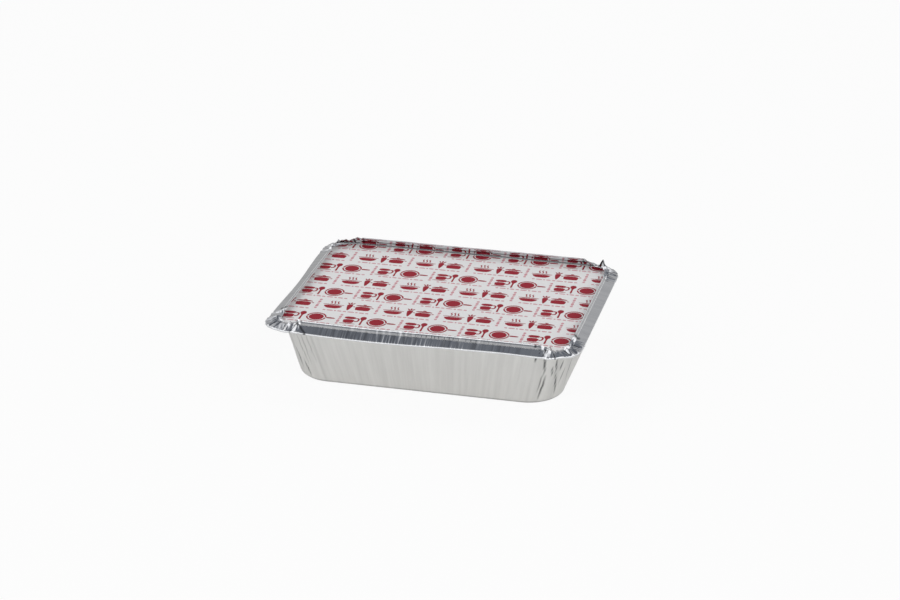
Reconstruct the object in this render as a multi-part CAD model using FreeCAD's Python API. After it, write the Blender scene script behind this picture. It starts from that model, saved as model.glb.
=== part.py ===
import FreeCAD, Part
import os
from math import atan, atan2, cos, pi, radians, sin, tan

# Foil food container: a tray pressed from one sheet of aluminium foil, a card lid lying on
# its ledge, and the rim folded in over the lid to close it.
# Millimetres, +Z up, origin at the middle of the base. +X runs along the long side to the
# right, +Y to the back. Sides and corners are counted round from the front, anticlockwise
# seen from above: front, right, back, left, with corner 0 after the front side.

# Foil tray
foil_gauge = 0.09
rim_length = 227.0            # over the outer bend of the closed rim
rim_width = 171.5
rim_corner_radius = 20.5
ledge_height = 44.0           # underside of the ledge above the table
ledge_width = 6.0
ledge_edge_radius = 0.8       # where the wall turns out into the ledge
wall_inset = 11.6             # how far a wall runs in from the ledge to the base
wall_corner_radius = 27.0     # at the ledge
base_corner_radius = 25.5
base_edge_radius = 3.0

# Closed rim: a main face folded in over the lid, then a hem, folded back on itself
face_width = 6.5
hem_width = 3.3
hem_gap = 0.2                 # air between the two layers of the hem
hem_end_gap = 0.3             # from the hem's cut edge to the crease below it
face_angles = (25.0, 12.0, 40.0, 18.0)   # each side's main face above level, in degrees
hem_angles = (60.0, 50.0, 52.0, 21.0)    # each side's hem above level
corner_hem_angles = (-12.0, -8.0, 38.0, -12.0)   # the hem round each corner, pressed down
corner_onset = 0.22           # share of a corner over which its hem is pressed down

# Card lid and its print
lid_thickness = 0.5
lid_play = 2.0                # lid's edge to the outer bend
lid_corner_radius = 23.0
bend_play = 0.2               # lid's face to the fold over it
ink_thickness = 0.06
ink_margin = 2.5              # print kept clear of the lid's edge
cell_pitch = 44.4             # from group to group along X
row_pitch = 22.9              # from row to row along Y
print_columns = 5
print_rows = 7
print_middle = (3.0, 14.5)
rule_size = (34.0, 0.8)       # pale rule under each group
rule_drop = 9.6               # from a group's middle line to its rule

# Straight stretches, from the middle of a side to where its corner's folds begin
rim_straights = (84.0, 54.0)
wall_straights = (66.0, 40.0)

# Pleats of the rim's corners: place from 0 to 1 round the corner, half width of the same
# measure, and how far the pleat stands out of the face at the lip and at the hem's crease
rim_pleats = (
    (
        (0.09, 0.035, -0.8, -0.5),
        (0.17, 0.035, 2.2, 1.2),
        (0.28, 0.050, -0.5, -0.4),
        (0.53, 0.035, 1.3, 0.8),
        (0.62, 0.035, 1.5, 0.9),
        (0.73, 0.050, -0.6, -0.4),
        (0.84, 0.030, 1.0, 0.7),
        (0.91, 0.030, 1.2, 0.6),
        (0.97, 0.020, -0.9, -0.4),
    ),
    (
        (0.05, 0.030, -0.7, -0.4),
        (0.14, 0.035, 1.2, 0.7),
        (0.29, 0.045, 1.6, 1.0),
        (0.41, 0.045, 1.8, 1.1),
        (0.51, 0.045, 1.8, 1.1),
        (0.61, 0.040, 5.4, 2.4),
        (0.76, 0.080, -0.4, -0.6),
        (0.95, 0.020, 0.5, 0.2),
    ),
    (
        (0.04, 0.020, -0.6, -0.4),
        (0.10, 0.035, 1.0, 0.7),
        (0.24, 0.080, -1.2, -0.5),
        (0.50, 0.035, 1.7, 1.0),
        (0.61, 0.045, -0.5, -0.3),
        (0.72, 0.045, 1.8, 1.2),
        (0.84, 0.035, 1.1, 0.8),
        (0.94, 0.030, -0.5, -0.3),
    ),
    (
        (0.03, 0.020, -0.9, -0.4),
        (0.09, 0.030, 1.1, 0.7),
        (0.25, 0.030, 0.8, 0.5),
        (0.33, 0.025, 0.9, 0.6),
        (0.41, 0.025, 1.0, 0.6),
        (0.49, 0.025, 1.0, 0.6),
        (0.58, 0.030, 0.8, 0.5),
        (0.80, 0.035, 1.6, 1.0),
        (0.87, 0.030, -0.6, -0.5),
        (0.94, 0.040, 2.4, 1.4),
    ),
)
# Where the outer bend swells or draws in, at the corners and along the sides: place, half
# width, and distance out
corner_swells = (
    ((0.17, 0.06, 0.6), (0.37, 0.16, -1.8)),
    ((0.50, 0.30, 0.7),),
    ((0.52, 0.26, 1.8),),
    ((0.42, 0.25, 1.7), (0.74, 0.08, 0.3)),
)
side_swells = (((60, 30, -0.8),), (), (), ((0, 54, -1.3),))
front_sag = (-35, 55, 0.7)    # middle and half width along X, and depth
# Small creases across the front main face: place along X and depth
rim_creases = (
    (-66, 0.10), (-58, 0.16), (-51, 0.22), (-45, 0.26), (-38, 0.30), (-32, 0.28), (-25, 0.34),
    (-19, 0.30), (-12, 0.36), (-6, 0.30), (1, 0.34), (8, 0.28), (14, 0.32), (21, 0.26),
    (27, 0.30), (35, 0.22), (42, 0.20), (52, 0.14), (63, 0.12),
)
crease_half_width = 2.6
# Creases of the wall's corners: place round the corner at the ledge and at the base, half
# width, depth, and the height shares at which the crease begins and ends
wall_creases = (
    (
        (0.22, 0.18, 0.020, 0.5, 0.20, 1.00),
        (0.36, 0.29, 0.018, 0.7, 0.30, 0.95),
        (0.44, 0.34, 0.020, 1.2, 0.00, 0.70),
        (0.50, 0.45, 0.018, 0.6, 0.55, 1.00),
        (0.54, 0.60, 0.018, 0.9, 0.00, 0.65),
        (0.60, 0.67, 0.018, 0.6, 0.45, 0.90),
        (0.78, 0.80, 0.030, 0.5, 0.10, 1.00),
    ),
    (
        (0.18, 0.20, 0.025, 0.6, 0.10, 0.90),
        (0.32, 0.34, 0.022, 0.9, 0.00, 0.80),
        (0.46, 0.46, 0.020, 0.7, 0.40, 1.00),
        (0.60, 0.57, 0.022, 0.9, 0.00, 0.70),
        (0.76, 0.72, 0.025, 0.6, 0.20, 1.00),
    ),
    (
        (0.20, 0.24, 0.025, 0.6, 0.20, 1.00),
        (0.36, 0.38, 0.022, 0.8, 0.00, 0.80),
        (0.50, 0.50, 0.020, 0.7, 0.30, 1.00),
        (0.63, 0.60, 0.022, 0.9, 0.00, 0.75),
        (0.80, 0.76, 0.025, 0.6, 0.10, 0.90),
    ),
    (
        (0.22, 0.24, 0.022, 0.6, 0.10, 0.90),
        (0.48, 0.40, 0.020, 0.9, 0.00, 0.45),
        (0.58, 0.65, 0.020, 0.9, 0.05, 0.60),
        (0.70, 0.76, 0.020, 0.5, 0.30, 1.00),
        (0.80, 0.88, 0.018, 0.4, 0.30, 1.00),
    ),
)
wall_levels = (0.3, 0.55, 0.8)     # height shares of the wall's rows between its ends
plain_step = 0.1                  # widest gap between columns round a plain corner
least_step = 0.018

# Sizes that follow
half_length = rim_length / 2
half_width = rim_width / 2
wall_tilt = atan(wall_inset / ledge_height)
bend_radius = (foil_gauge + lid_thickness + bend_play) / 2 + foil_gauge / 2
lid_bottom = ledge_height + foil_gauge
lid_top = lid_bottom + lid_thickness


def turned(side, along, out):
    """A plan vector given along and out from a side, turned to that side."""
    x, y = along, -out
    for _ in range(side):
        x, y = -y, x
    return FreeCAD.Vector(x, y, 0)


def outline_point(station, inward, radius, straights):
    """Plan point and outward normal of a station on the rim's outline moved inward."""
    side, place, in_corner = station
    along_half, out_half = half_length - inward, half_width - inward
    start, finish = straights
    if side % 2:
        along_half, out_half = out_half, along_half
        start, finish = finish, start
    if not in_corner:
        return turned(side, place, out_half), turned(side, 0, 1)
    lead = along_half - radius - start
    arc = radius * pi / 2
    tail = out_half - radius - finish
    run = place * (lead + arc + tail)
    if run < lead:
        return turned(side, start + run, out_half), turned(side, 0, 1)
    if run > lead + arc:
        return turned(side, along_half, finish + lead + arc + tail - run), turned(side, 1, 0)
    angle = (run - lead) / radius
    along = along_half - radius + radius * sin(angle)
    out = out_half - radius + radius * cos(angle)
    return turned(side, along, out), turned(side, sin(angle), cos(angle))


def tent(distance, half_reach):
    """A straight-sided ridge, 1 at its middle and 0 at its feet."""
    return max(0.0, 1 - abs(distance) / half_reach)


def spaced(places):
    """Places in order, thinned where they nearly meet and filled where the gap is wide."""
    kept = [0.0]
    for place in sorted(places) + [1.0]:
        gap = place - kept[-1]
        if gap < least_step:
            continue
        parts = int(gap / plain_step) + 1
        first = kept[-1]
        kept += [first + gap * n / parts for n in range(1, parts + 1)]
    return kept


def eased(share):
    """0 to 1 with a level start and end."""
    share = min(1.0, max(0.0, share))
    return share * share * (3 - 2 * share)


def blended(side, in_corner, place, values):
    """A side's value, turning into the next side's across the corner."""
    if not in_corner:
        return values[side]
    share = eased(place)
    return values[side] * (1 - share) + values[(side + 1) % 4] * share


def rim_stations():
    stations = []
    for side in range(4):
        end = rim_straights[side % 2]
        if side == 0:
            places = [-end]
            for crease, _ in rim_creases:
                places += [crease, crease + crease_half_width]
        else:
            places = [-end, -end / 2, 0, end / 2] if side_swells[side] else [-end, 0]
        stations += [(side, place, False) for place in places]
        pleats = rim_pleats[side]
        feet = [place + half * n for place, half, _, _ in pleats for n in (-1, 0, 1)]
        stations += [(side, place, True) for place in spaced(feet)[:-1]]
    return stations


def rim_profile(station):
    """The outer face's rows from the ledge to the hem's cut edge, as distance in from the
    bend, height over the ledge, and the face's own direction out and up."""
    side, place, in_corner = station
    face = radians(blended(side, in_corner, place, face_angles))
    hem = radians(blended(side, in_corner, place, hem_angles))
    lip_rise = crease_rise = dent = sag = 0.0
    if in_corner:
        pressed = eased(min(place, 1 - place) / corner_onset)
        hem += (radians(corner_hem_angles[side]) - hem) * pressed
        for middle, half, lip, crease in rim_pleats[side]:
            lip_rise += lip * tent(place - middle, half)
            crease_rise += crease * tent(place - middle, half)
    elif side == 0:
        dent = sum(depth * tent(place - x, crease_half_width) for x, depth in rim_creases)
        sag = front_sag[2] * eased(1 - abs(place - front_sag[0]) / front_sag[1])
    swells = corner_swells if in_corner else side_swells
    swell = sum(out * eased(1 - abs(place - x) / half) for x, half, out in swells[side])

    bend_in = bend_radius * (1 - sin(face))
    bend_up = bend_radius * (1 + cos(face))
    middle = (face + hem) / 2
    crease_in = bend_in + face_width * cos(face) - crease_rise * sin(middle)
    crease_up = bend_up + face_width * sin(face) + crease_rise * cos(middle)
    lift = lip_rise - crease_rise
    lip_in = crease_in + hem_width * cos(hem) - lift * sin(hem)
    lip_up = crease_up + hem_width * sin(hem) + lift * cos(hem)
    share = 1 - hem_end_gap / hem_width
    cut_in = lip_in + (crease_in - lip_in) * share
    cut_up = lip_up + (crease_up - lip_up) * share
    out, up = sin(hem), cos(hem)
    rows = [
        (bend_radius - swell, 0, 0, -1),
        (dent - swell, bend_radius, 1, 0),
        (bend_in - swell + dent * sin(face), bend_up - dent * cos(face), sin(face), cos(face)),
        (crease_in, crease_up, sin(middle), cos(middle)),
        (lip_in, lip_up, out, up),
        (lip_in + hem_gap / 2 * (up - out), lip_up + hem_gap / 2 * (out + up), up, -out),
        (lip_in - hem_gap * out, lip_up + hem_gap * up, -out, -up),
        (cut_in - hem_gap * out, cut_up + hem_gap * up, -out, -up),
    ]
    return [(inward, height - sag, away, above) for inward, height, away, above in rows]


def wall_stations():
    """Stations as side, place at the ledge, place at the base and whether in a corner."""
    stations = []
    for side in range(4):
        end = wall_straights[side % 2]
        stations.append((side, -end, -end, False))
        pairs = [(0.0, 0.0)]
        for top, bottom, half, _, _, _ in wall_creases[side]:
            pairs += [(top + half * n, bottom + half * n) for n in (-1, 0, 1)]
        pairs.append((1.0, 1.0))
        for first, last in zip(pairs, pairs[1:]):
            parts = int(max(last[0] - first[0], last[1] - first[1]) / plain_step) + 1
            for n in range(parts):
                top = first[0] + (last[0] - first[0]) * n / parts
                bottom = first[1] + (last[1] - first[1]) * n / parts
                stations.append((side, top, bottom, True))
    return stations


def wall_dent(side, top, bottom, share):
    """How deep the creases press the wall in at one column and height share."""
    dent = 0.0
    for crease_top, _, half, depth, low, high in wall_creases[side]:
        reach = (high - low) / 2
        dent += depth * tent(top - crease_top, half) * tent(share - low - reach, reach)
    return dent


def wall_profile():
    """The outer face's rows from the base's edge to the ledge, as distance in from the
    ledge's inner line, height, direction out and up, and share of the wall's height."""
    steep = pi / 2 - wall_tilt
    tangent = base_edge_radius * tan(steep / 2)
    rows = []
    for n in range(3):
        angle = steep * n / 2
        inset = wall_inset + tangent - base_edge_radius * sin(angle)
        height = base_edge_radius * (1 - cos(angle))
        rows.append((inset, height, sin(angle), -cos(angle), 0.0))
    low = rows[-1][1]
    high = ledge_height - ledge_edge_radius
    for share in wall_levels + (1.0,):
        height = low + (high - low) * share
        inset = wall_inset * (1 - height / ledge_height)
        rows.append((inset, height, cos(wall_tilt), -sin(wall_tilt), share))
    rows.append((-ledge_edge_radius, ledge_height, 0, -1, 1.0))
    return rows


def sheet_rows(profiles):
    """Outer and inner points of each row, the inner one gauge behind the outer."""
    outer, inner = [], []
    for row in profiles:
        outer.append([point for point, _ in row])
        inner.append([point - face * foil_gauge for point, face in row])
    return outer, inner


def tray_wall():
    rows = []
    for inset, height, out, up, share in wall_profile():
        row = []
        for side, top, bottom, in_corner in wall_stations():
            place = bottom + (top - bottom) * share
            corner = base_corner_radius + (wall_corner_radius - base_corner_radius) * share
            inward = ledge_width + inset
            radius = corner - max(0.0, inset - wall_inset)
            point, normal = outline_point((side, place, in_corner), inward, radius, wall_straights)
            if in_corner:
                point -= normal * wall_dent(side, top, bottom, share)
            point.z = height
            row.append((point, normal * out + FreeCAD.Vector(0, 0, up)))
        rows.append(row)
    return rows


def tray_rim():
    columns = []
    for station in rim_stations():
        column = []
        for inward, height, out, up in rim_profile(station):
            point, normal = outline_point(station, 0, rim_corner_radius, rim_straights)
            point -= normal * inward
            point.z = ledge_height + height
            column.append((point, normal * out + FreeCAD.Vector(0, 0, up)))
        columns.append(column)
    return [list(row) for row in zip(*columns)]


def band(count, lower, upper, mirrored=False):
    """Triangles between two rows of count points each, given by their first index."""
    faces = []
    for n in range(count):
        m = (n + 1) % count
        a, b, c, d = lower + n, lower + m, upper + m, upper + n
        if mirrored:
            faces += [(a, b, d), (b, c, d)]
        else:
            faces += [(a, b, c), (a, c, d)]
    return faces


def zipped(points, inner, outer):
    """Triangles of a flat ring between two closed rows of different counts, by bearing."""
    def bearing(index):
        return atan2(points[index].y, points[index].x)

    faces = []
    inner = sorted(inner, key=bearing)
    outer = sorted(outer, key=bearing)
    i = j = 0
    while i < len(inner) or j < len(outer):
        a, b = inner[i % len(inner)], outer[j % len(outer)]
        next_inner = bearing(inner[i]) if i < len(inner) else 4.0
        next_outer = bearing(outer[j]) if j < len(outer) else 4.0
        if next_inner <= next_outer:
            faces.append((inner[i - 1], a, outer[j - 1]))
            i += 1
        else:
            faces.append((inner[i - 1], b, outer[j - 1]))
            j += 1
    return faces


def foil_tray():
    wall_outer, wall_inner = sheet_rows(tray_wall())
    rim_outer, rim_inner = sheet_rows(tray_rim())
    points, faces = [], []

    def add(row):
        points.extend(row)
        return len(points) - len(row)

    wall_out = [add(row) for row in wall_outer]
    rim_out = [add(row) for row in rim_outer]
    rim_in = [add(row) for row in rim_inner]
    wall_in = [add(row) for row in wall_inner]
    around, about = len(wall_outer[0]), len(rim_outer[0])

    for low, high in zip(wall_out, wall_out[1:]):
        faces += band(around, low, high)
    for low, high in zip(wall_in, wall_in[1:]):
        faces += [face[::-1] for face in band(around, low, high)]
    returned = len(rim_out) - 2
    for n in range(len(rim_out) - 1):
        mirrored = n >= returned
        faces += band(about, rim_out[n], rim_out[n + 1], mirrored)
        faces += [face[::-1] for face in band(about, rim_in[n], rim_in[n + 1], mirrored)]
    faces += band(about, rim_out[-1], rim_in[-1])

    ledges = ((wall_out[-1], rim_out[0], False), (wall_in[-1], rim_in[0], True))
    for wall_row, rim_row, top in ledges:
        ring = zipped(points, range(wall_row, wall_row + around), range(rim_row, rim_row + about))
        faces += [face[::-1] for face in ring] if top else ring

    for row, top in ((wall_out[0], False), (wall_in[0], True)):
        middle = add([FreeCAD.Vector(0, 0, points[row].z)])
        for n in range(around):
            first, second = row + n, row + (n + 1) % around
            faces.append((first, second, middle) if top else (second, first, middle))

    shape = Part.Shape()
    shape.makeShapeFromMesh((points, faces), foil_gauge / 100)
    return Part.Solid(shape)


def card_lid():
    length, width = rim_length - 2 * lid_play, rim_width - 2 * lid_play
    card = Part.makeBox(length, width, lid_thickness, FreeCAD.Vector(-length / 2, -width / 2, lid_bottom))
    uprights = [edge for edge in card.Edges if abs(edge.tangentAt(0).z) > 0.5]
    return card.makeFillet(lid_corner_radius, uprights)


def outline_solid(outline, x, y):
    """A flat patch of ink on the lid, cut off where it would run past the printed area."""
    corners = [FreeCAD.Vector(x + u, y + v, lid_top) for u, v in outline]
    patch = Part.Face(Part.makePolygon(corners + corners[:1]))
    window_x = half_length - lid_play - ink_margin
    window_y = half_width - lid_play - ink_margin
    cut = lid_corner_radius * (2 - 2 ** 0.5)
    if all(abs(c.x) < window_x and abs(c.y) < window_y for c in corners):
        if all(abs(c.x) + abs(c.y) < window_x + window_y - cut for c in corners):
            return [patch.extrude(FreeCAD.Vector(0, 0, ink_thickness))]
    ring = []
    for side in range(4):
        a, b = (window_x, window_y) if side % 2 == 0 else (window_y, window_x)
        ring += [turned(side, cut - a, b), turned(side, a - cut, b)]
    for corner in ring:
        corner.z = lid_top
    kept = patch.common(Part.Face(Part.makePolygon(ring + ring[:1])))
    return [face.extrude(FreeCAD.Vector(0, 0, ink_thickness)) for face in kept.Faces]


def pan_outline():
    """A frying pan from above: a round body with its handle to the right."""
    body, sides = 6.4, 8
    start, step = pi / sides, 2 * pi / sides
    rim = [(body * cos(start + step * n), body * sin(start + step * n)) for n in range(sides)]
    return rim + [(body, -0.9), (12.0, -0.7), (12.0, 0.7), (body, 0.9)]


mug_outline = ((-4, -4.6), (3, -4.6), (3, -2.8), (5.4, -2.2), (5.4, 2.8), (3, 3.4), (3, 5), (-4, 5))
spoon_outline = ((-0.6, -6), (0.6, -6), (0.7, 1), (2, 3.2), (1.4, 6), (-1.4, 6), (-2, 3.2), (-0.7, 1))
bowl_outline = ((-6.6, 0.6), (-5.2, -3.4), (-2.6, -5.2), (2.6, -5.2), (5.2, -3.4), (6.6, 0.6))
steam_outline = ((-0.7, 1.8), (0.7, 1.8), (1.3, 5.6), (-0.1, 5.6))
pot_outline = ((-5, -4.8), (5, -4.8), (5.6, 2), (1.2, 2.8), (1.2, 4.6), (-1.2, 4.6), (-1.2, 2.8), (-5.6, 2))
carrot_outline = ((0, -6), (1.9, 3), (0.9, 5.8), (-0.9, 5.8), (-1.9, 3))
# Each group's motifs with their places from its middle
upper_group = ((mug_outline, -15.0), (spoon_outline, -6.2), (pan_outline(), 4.6))
lower_group = ((bowl_outline, -11.5), (steam_outline, -13.4), (steam_outline, -9.8),
               (carrot_outline, 0.4), (pot_outline, 10.6))


def print_groups():
    """Middles of the groups row by row; every second row is set half a pitch aside."""
    groups = []
    for row in range(print_rows):
        aside = row % 2
        y = print_middle[1] + (row - (print_rows - 1) / 2) * row_pitch
        for column in range(print_columns + aside):
            x = print_middle[0] + (column - (print_columns - 1 + aside) / 2) * cell_pitch
            groups.append((x, y, aside))
    return groups


def red_print():
    patches = []
    for x, y, aside in print_groups():
        for outline, place in lower_group if aside else upper_group:
            patches += outline_solid(outline, x + place, y)
    return Part.Compound(patches)


def pale_print():
    length, width = rule_size
    rule = [(u * length / 2, v * width / 2) for u, v in ((-1, -1), (1, -1), (1, 1), (-1, 1))]
    patches = []
    for x, y, _ in print_groups():
        patches += outline_solid(rule, x, y - rule_drop)
    return Part.Compound(patches)


os.makedirs("parts", exist_ok=True)
foil_tray().exportStep("parts/foil_tray.step")
card_lid().exportStep("parts/card_lid.step")
red_print().exportStep("parts/print_red.step")
pale_print().exportStep("parts/print_pale.step")
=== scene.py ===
import bpy
import numpy as np
from math import cos, pi, radians, sin, tan
from mathutils import Matrix, Vector


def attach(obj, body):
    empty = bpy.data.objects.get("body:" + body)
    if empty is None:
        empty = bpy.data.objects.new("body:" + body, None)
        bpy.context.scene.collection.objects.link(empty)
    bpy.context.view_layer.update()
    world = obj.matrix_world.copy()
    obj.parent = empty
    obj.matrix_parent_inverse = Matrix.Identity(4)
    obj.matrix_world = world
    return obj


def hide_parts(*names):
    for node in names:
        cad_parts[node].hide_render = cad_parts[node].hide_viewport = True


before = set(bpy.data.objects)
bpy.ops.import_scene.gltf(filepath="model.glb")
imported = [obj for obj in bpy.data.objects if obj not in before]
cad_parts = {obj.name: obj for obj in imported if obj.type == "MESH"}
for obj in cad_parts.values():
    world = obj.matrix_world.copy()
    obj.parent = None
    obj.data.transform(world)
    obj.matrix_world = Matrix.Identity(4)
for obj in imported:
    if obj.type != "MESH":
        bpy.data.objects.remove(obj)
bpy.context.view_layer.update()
mm = 0.001


# Camera and frame of the picture, millimetres and degrees

view = {
    "turn": 14.02,  # round from straight in front, towards the right end
    "height": 23.32,  # above level
    "lens": 98.4,
    "distance": 1796.2,
    "aside": -2.78,
    "lift": -39.21,
}


def linked(name, data):
    made = bpy.data.objects.new(name, data)
    bpy.context.collection.objects.link(made)
    return made


def placeCamera():
    turn, height = radians(view["turn"]), radians(view["height"])
    right = Vector((cos(turn), sin(turn), 0))
    back = Vector((sin(turn) * cos(height), -cos(turn) * cos(height), sin(height)))
    up = back.cross(right)
    eye = back * view["distance"] - right * view["aside"] - up * view["lift"]
    data = bpy.data.cameras.new("pictureCamera")
    data.lens = view["lens"]
    data.sensor_width = 36
    data.clip_start = 0.05
    data.clip_end = 20
    camera = linked("pictureCamera", data)
    turned = Matrix((right, up, back)).transposed().to_4x4()
    camera.matrix_world = Matrix.Translation(eye * mm) @ turned
    bpy.context.scene.camera = camera


placeCamera()
bpy.context.scene.view_settings.view_transform = "Standard"


# Small helpers

def tent(distance, halfReach):
    # 1 at the middle, straight down to 0 at the feet
    return np.maximum(0, 1 - np.abs(distance) / halfReach)


def eased(share):
    share = np.clip(share, 0, 1)
    return share * share * (3 - 2 * share)


def folds(run, pitch, seed):
    # Straight-sided folds: random heights from -1 to 1 at uneven steps, joined by lines
    draw = np.random.default_rng(seed)
    knots = np.arange(np.min(run) - 2 * pitch, np.max(run) + 3 * pitch, pitch)
    knots = knots + draw.uniform(-0.35, 0.35, knots.size) * pitch
    return np.interp(run, knots, draw.uniform(-1, 1, knots.size))


def ridges(run, pitch, halfWidth, seed):
    # Narrow straight-sided ridges of random height, 0.35 to 1, at uneven steps along the run
    draw = np.random.default_rng(seed)
    knots = np.arange(np.min(run) - 2 * pitch, np.max(run) + 3 * pitch, pitch)
    knots = knots + draw.uniform(-0.4, 0.4, knots.size) * pitch
    heights = draw.uniform(0.35, 1, knots.size)
    after = np.clip(np.searchsorted(knots, run), 1, knots.size - 1)
    left = heights[after - 1] * tent(run - knots[after - 1], halfWidth)
    return np.maximum(left, heights[after] * tent(run - knots[after], halfWidth))


def zigzag(turns):
    # Triangle wave from -1 to 1 with period 1
    return 4 * np.abs(turns - np.floor(turns + 0.5)) - 1


def makeObject(name, verts, faces, materials, faceMaterial=None):
    mesh = bpy.data.meshes.new(name)
    mesh.from_pydata(verts, [], faces)
    for material in materials:
        mesh.materials.append(material)
    if faceMaterial is not None:
        mesh.polygons.foreach_set("material_index", faceMaterial)
    mesh.update()
    return linked(name, mesh)


# Materials

def linearColour(hexText):
    # sRGB hex to the linear values Blender works in
    channels = [int(hexText[n:n + 2], 16) / 255 for n in (1, 3, 5)]
    bright = [c / 12.92 if c <= 0.04045 else ((c + 0.055) / 1.055) ** 2.4 for c in channels]
    return (*bright, 1.0)


def newMaterial(name):
    material = bpy.data.materials.new(name)
    material.use_nodes = True
    material.node_tree.nodes.clear()
    return material, material.node_tree


def addNode(tree, kind, values=None, links=None, **settings):
    # One node: its settings by name, its socket values, and links as socket: (node, output)
    made = tree.nodes.new("ShaderNode" + kind)
    for key, value in settings.items():
        setattr(made, key, value)
    for socket, value in (values or {}).items():
        made.inputs[socket].default_value = value
    for socket, (source, output) in (links or {}).items():
        tree.links.new(source.outputs[output], made.inputs[socket])
    return made


def addNoise(tree, place, scale, detail, roughness=0.5, output="Object"):
    return addNode(tree, "TexNoise", {"Scale": scale, "Detail": detail, "Roughness": roughness},
                   {"Vector": (place, output)})


def addBump(tree, height, depth, links=None):
    # Raises the surface by up to depth, in millimetres, where the height's noise is high
    return addNode(tree, "Bump", {"Strength": 1.0, "Distance": depth * mm},
                   {"Height": (height, "Fac"), **(links or {})})


foilFinish = {
    "satinLight": "#E6E5E3", "satinDark": "#DBDAD8", "satinRoughness": (0.30, 0.38),
    "rimLight": "#E9EAEC", "rimDark": "#DADBDE", "rimRoughness": (0.08, 0.14),
    "paintedShadeColour": "#35373A",  # painted shade: the dark of a pinched fold's slit, which no light gets out of
    "streakPitch": 5.5,  # mm between the faint upright streaks of drawing the sheet down
    "grainSize": 1.4,  # mm, the faint mottle that pressing leaves in the sheet
    "grainDepth": 0.012,
    "linePitch": 0.9,  # mm, rolling lines along the rim, drawn coarse enough to show
    "rimLineDepth": 0.03, "satinLineDepth": 0.004,
    "cloudScale": 45.0,  # per metre, the slow change from brighter to duller sheet
    "streakStretch": 0.012, "lineStretch": 0.05,  # how slowly both change along themselves
}


def twoTones(tree, source, dark, light, limits):
    # Dark where the source's noise is below the limits, light above them
    tone = addNode(tree, "ValToRGB", links={"Fac": (source, "Fac")})
    for element, position, colour in zip(tone.color_ramp.elements, limits, (dark, light)):
        element.position = position
        element.color = linearColour(colour)
    return tone


def foilMaterial(name, light, dark, roughness, lineDepth):
    # Rolled aluminium foil, pressed: a metal with faint upright streaks of tone, its sheen
    # softened by the mottle of pressing, with fine lines where the rim was rolled over, and
    # painted shade, from the mesh's fold attribute, in the slits where the sheet is pinched, in its
    # creases and streaks. The sheet's own UV runs in millimetres round the tray and up it.
    material, tree = newMaterial(name)
    place = addNode(tree, "TexCoord")
    mottle = addNoise(tree, place, 1 / (foilFinish["grainSize"] * mm), 3.0, 0.6)
    cloud = addNoise(tree, place, foilFinish["cloudScale"], 4.0)
    dull = addNode(tree, "MapRange", {"From Min": 0.3, "From Max": 0.7,
                   "To Min": roughness[0], "To Max": roughness[1]}, {"Value": (cloud, "Fac")})
    streakScale = (1 / foilFinish["streakPitch"], foilFinish["streakStretch"], 1.0)
    upright = addNode(tree, "Mapping", {"Scale": streakScale}, {"Vector": (place, "UV")})
    streak = addNoise(tree, upright, 1.0, 4.0, 0.65, "Vector")
    tone = twoTones(tree, streak, dark, light, (0.34, 0.66))
    # Painted shade: the fold attribute mixes the colour towards the dark shade colour
    fold = addNode(tree, "Attribute", attribute_name="fold")
    colour = addNode(tree, "Mix", {"B": linearColour(foilFinish["paintedShadeColour"])},
                     {"Factor": (fold, "Fac"), "A": (tone, "Color")}, data_type="RGBA")
    pressed = addBump(tree, mottle, foilFinish["grainDepth"])
    lineScale = (1 / foilFinish["linePitch"], foilFinish["lineStretch"], 1.0)
    along = addNode(tree, "Mapping", {"Scale": lineScale}, {"Vector": (place, "UV")})
    lines = addNoise(tree, along, 1.0, 2.0, output="Vector")
    rolled = addBump(tree, lines, lineDepth, {"Normal": (pressed, "Normal")})
    shader = addNode(tree, "BsdfPrincipled", {"Metallic": 1.0},
                     {"Base Color": (colour, "Result"), "Roughness": (dull, "Result"),
                      "Normal": (rolled, "Normal")})
    addNode(tree, "OutputMaterial", links={"Surface": (shader, "BSDF")})
    return material


def boardMaterial():
    # Clay-coated white board: matt, a little cool, with a faint fibre mottle under the coat
    material, tree = newMaterial("clay coated white board")
    place = addNode(tree, "TexCoord")
    fibre = addNoise(tree, place, 900.0, 4.0)
    tone = twoTones(tree, fibre, "#E8E7E6", "#EFEEED", (0.3, 0.7))
    raised = addBump(tree, fibre, 0.01)
    shader = addNode(tree, "BsdfPrincipled", {"Roughness": 0.55,
                     "Specular IOR Level": 0.2}, {"Base Color": (tone, "Color"),
                     "Normal": (raised, "Normal")})
    addNode(tree, "OutputMaterial", links={"Surface": (shader, "BSDF")})
    return material


def inkMaterial(name, dark, light):
    # Offset printing ink on board: flat colour, broken up a little by the paper's tooth
    material, tree = newMaterial(name)
    place = addNode(tree, "TexCoord")
    tooth = addNoise(tree, place, 1300.0, 3.0)
    tone = twoTones(tree, tooth, dark, light, (0.35, 0.75))
    shader = addNode(tree, "BsdfPrincipled", {"Roughness": 0.6,
                     "Specular IOR Level": 0.12}, {"Base Color": (tone, "Color")})
    addNode(tree, "OutputMaterial", links={"Surface": (shader, "BSDF")})
    return material


satinFoil = foilMaterial("aluminium foil, satin outside", foilFinish["satinLight"],
                         foilFinish["satinDark"], foilFinish["satinRoughness"],
                         foilFinish["satinLineDepth"])
rimFoil = foilMaterial("aluminium foil, rolled rim", foilFinish["rimLight"],
                       foilFinish["rimDark"], foilFinish["rimRoughness"],
                       foilFinish["rimLineDepth"])
whiteBoard = boardMaterial()
redInk = inkMaterial("red offset ink", "#962734", "#A3323E")
paleInk = inkMaterial("pale pink offset ink", "#CB939A", "#D7A6AB")
print("materials made")


# Foil tray, millimetres

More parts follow.
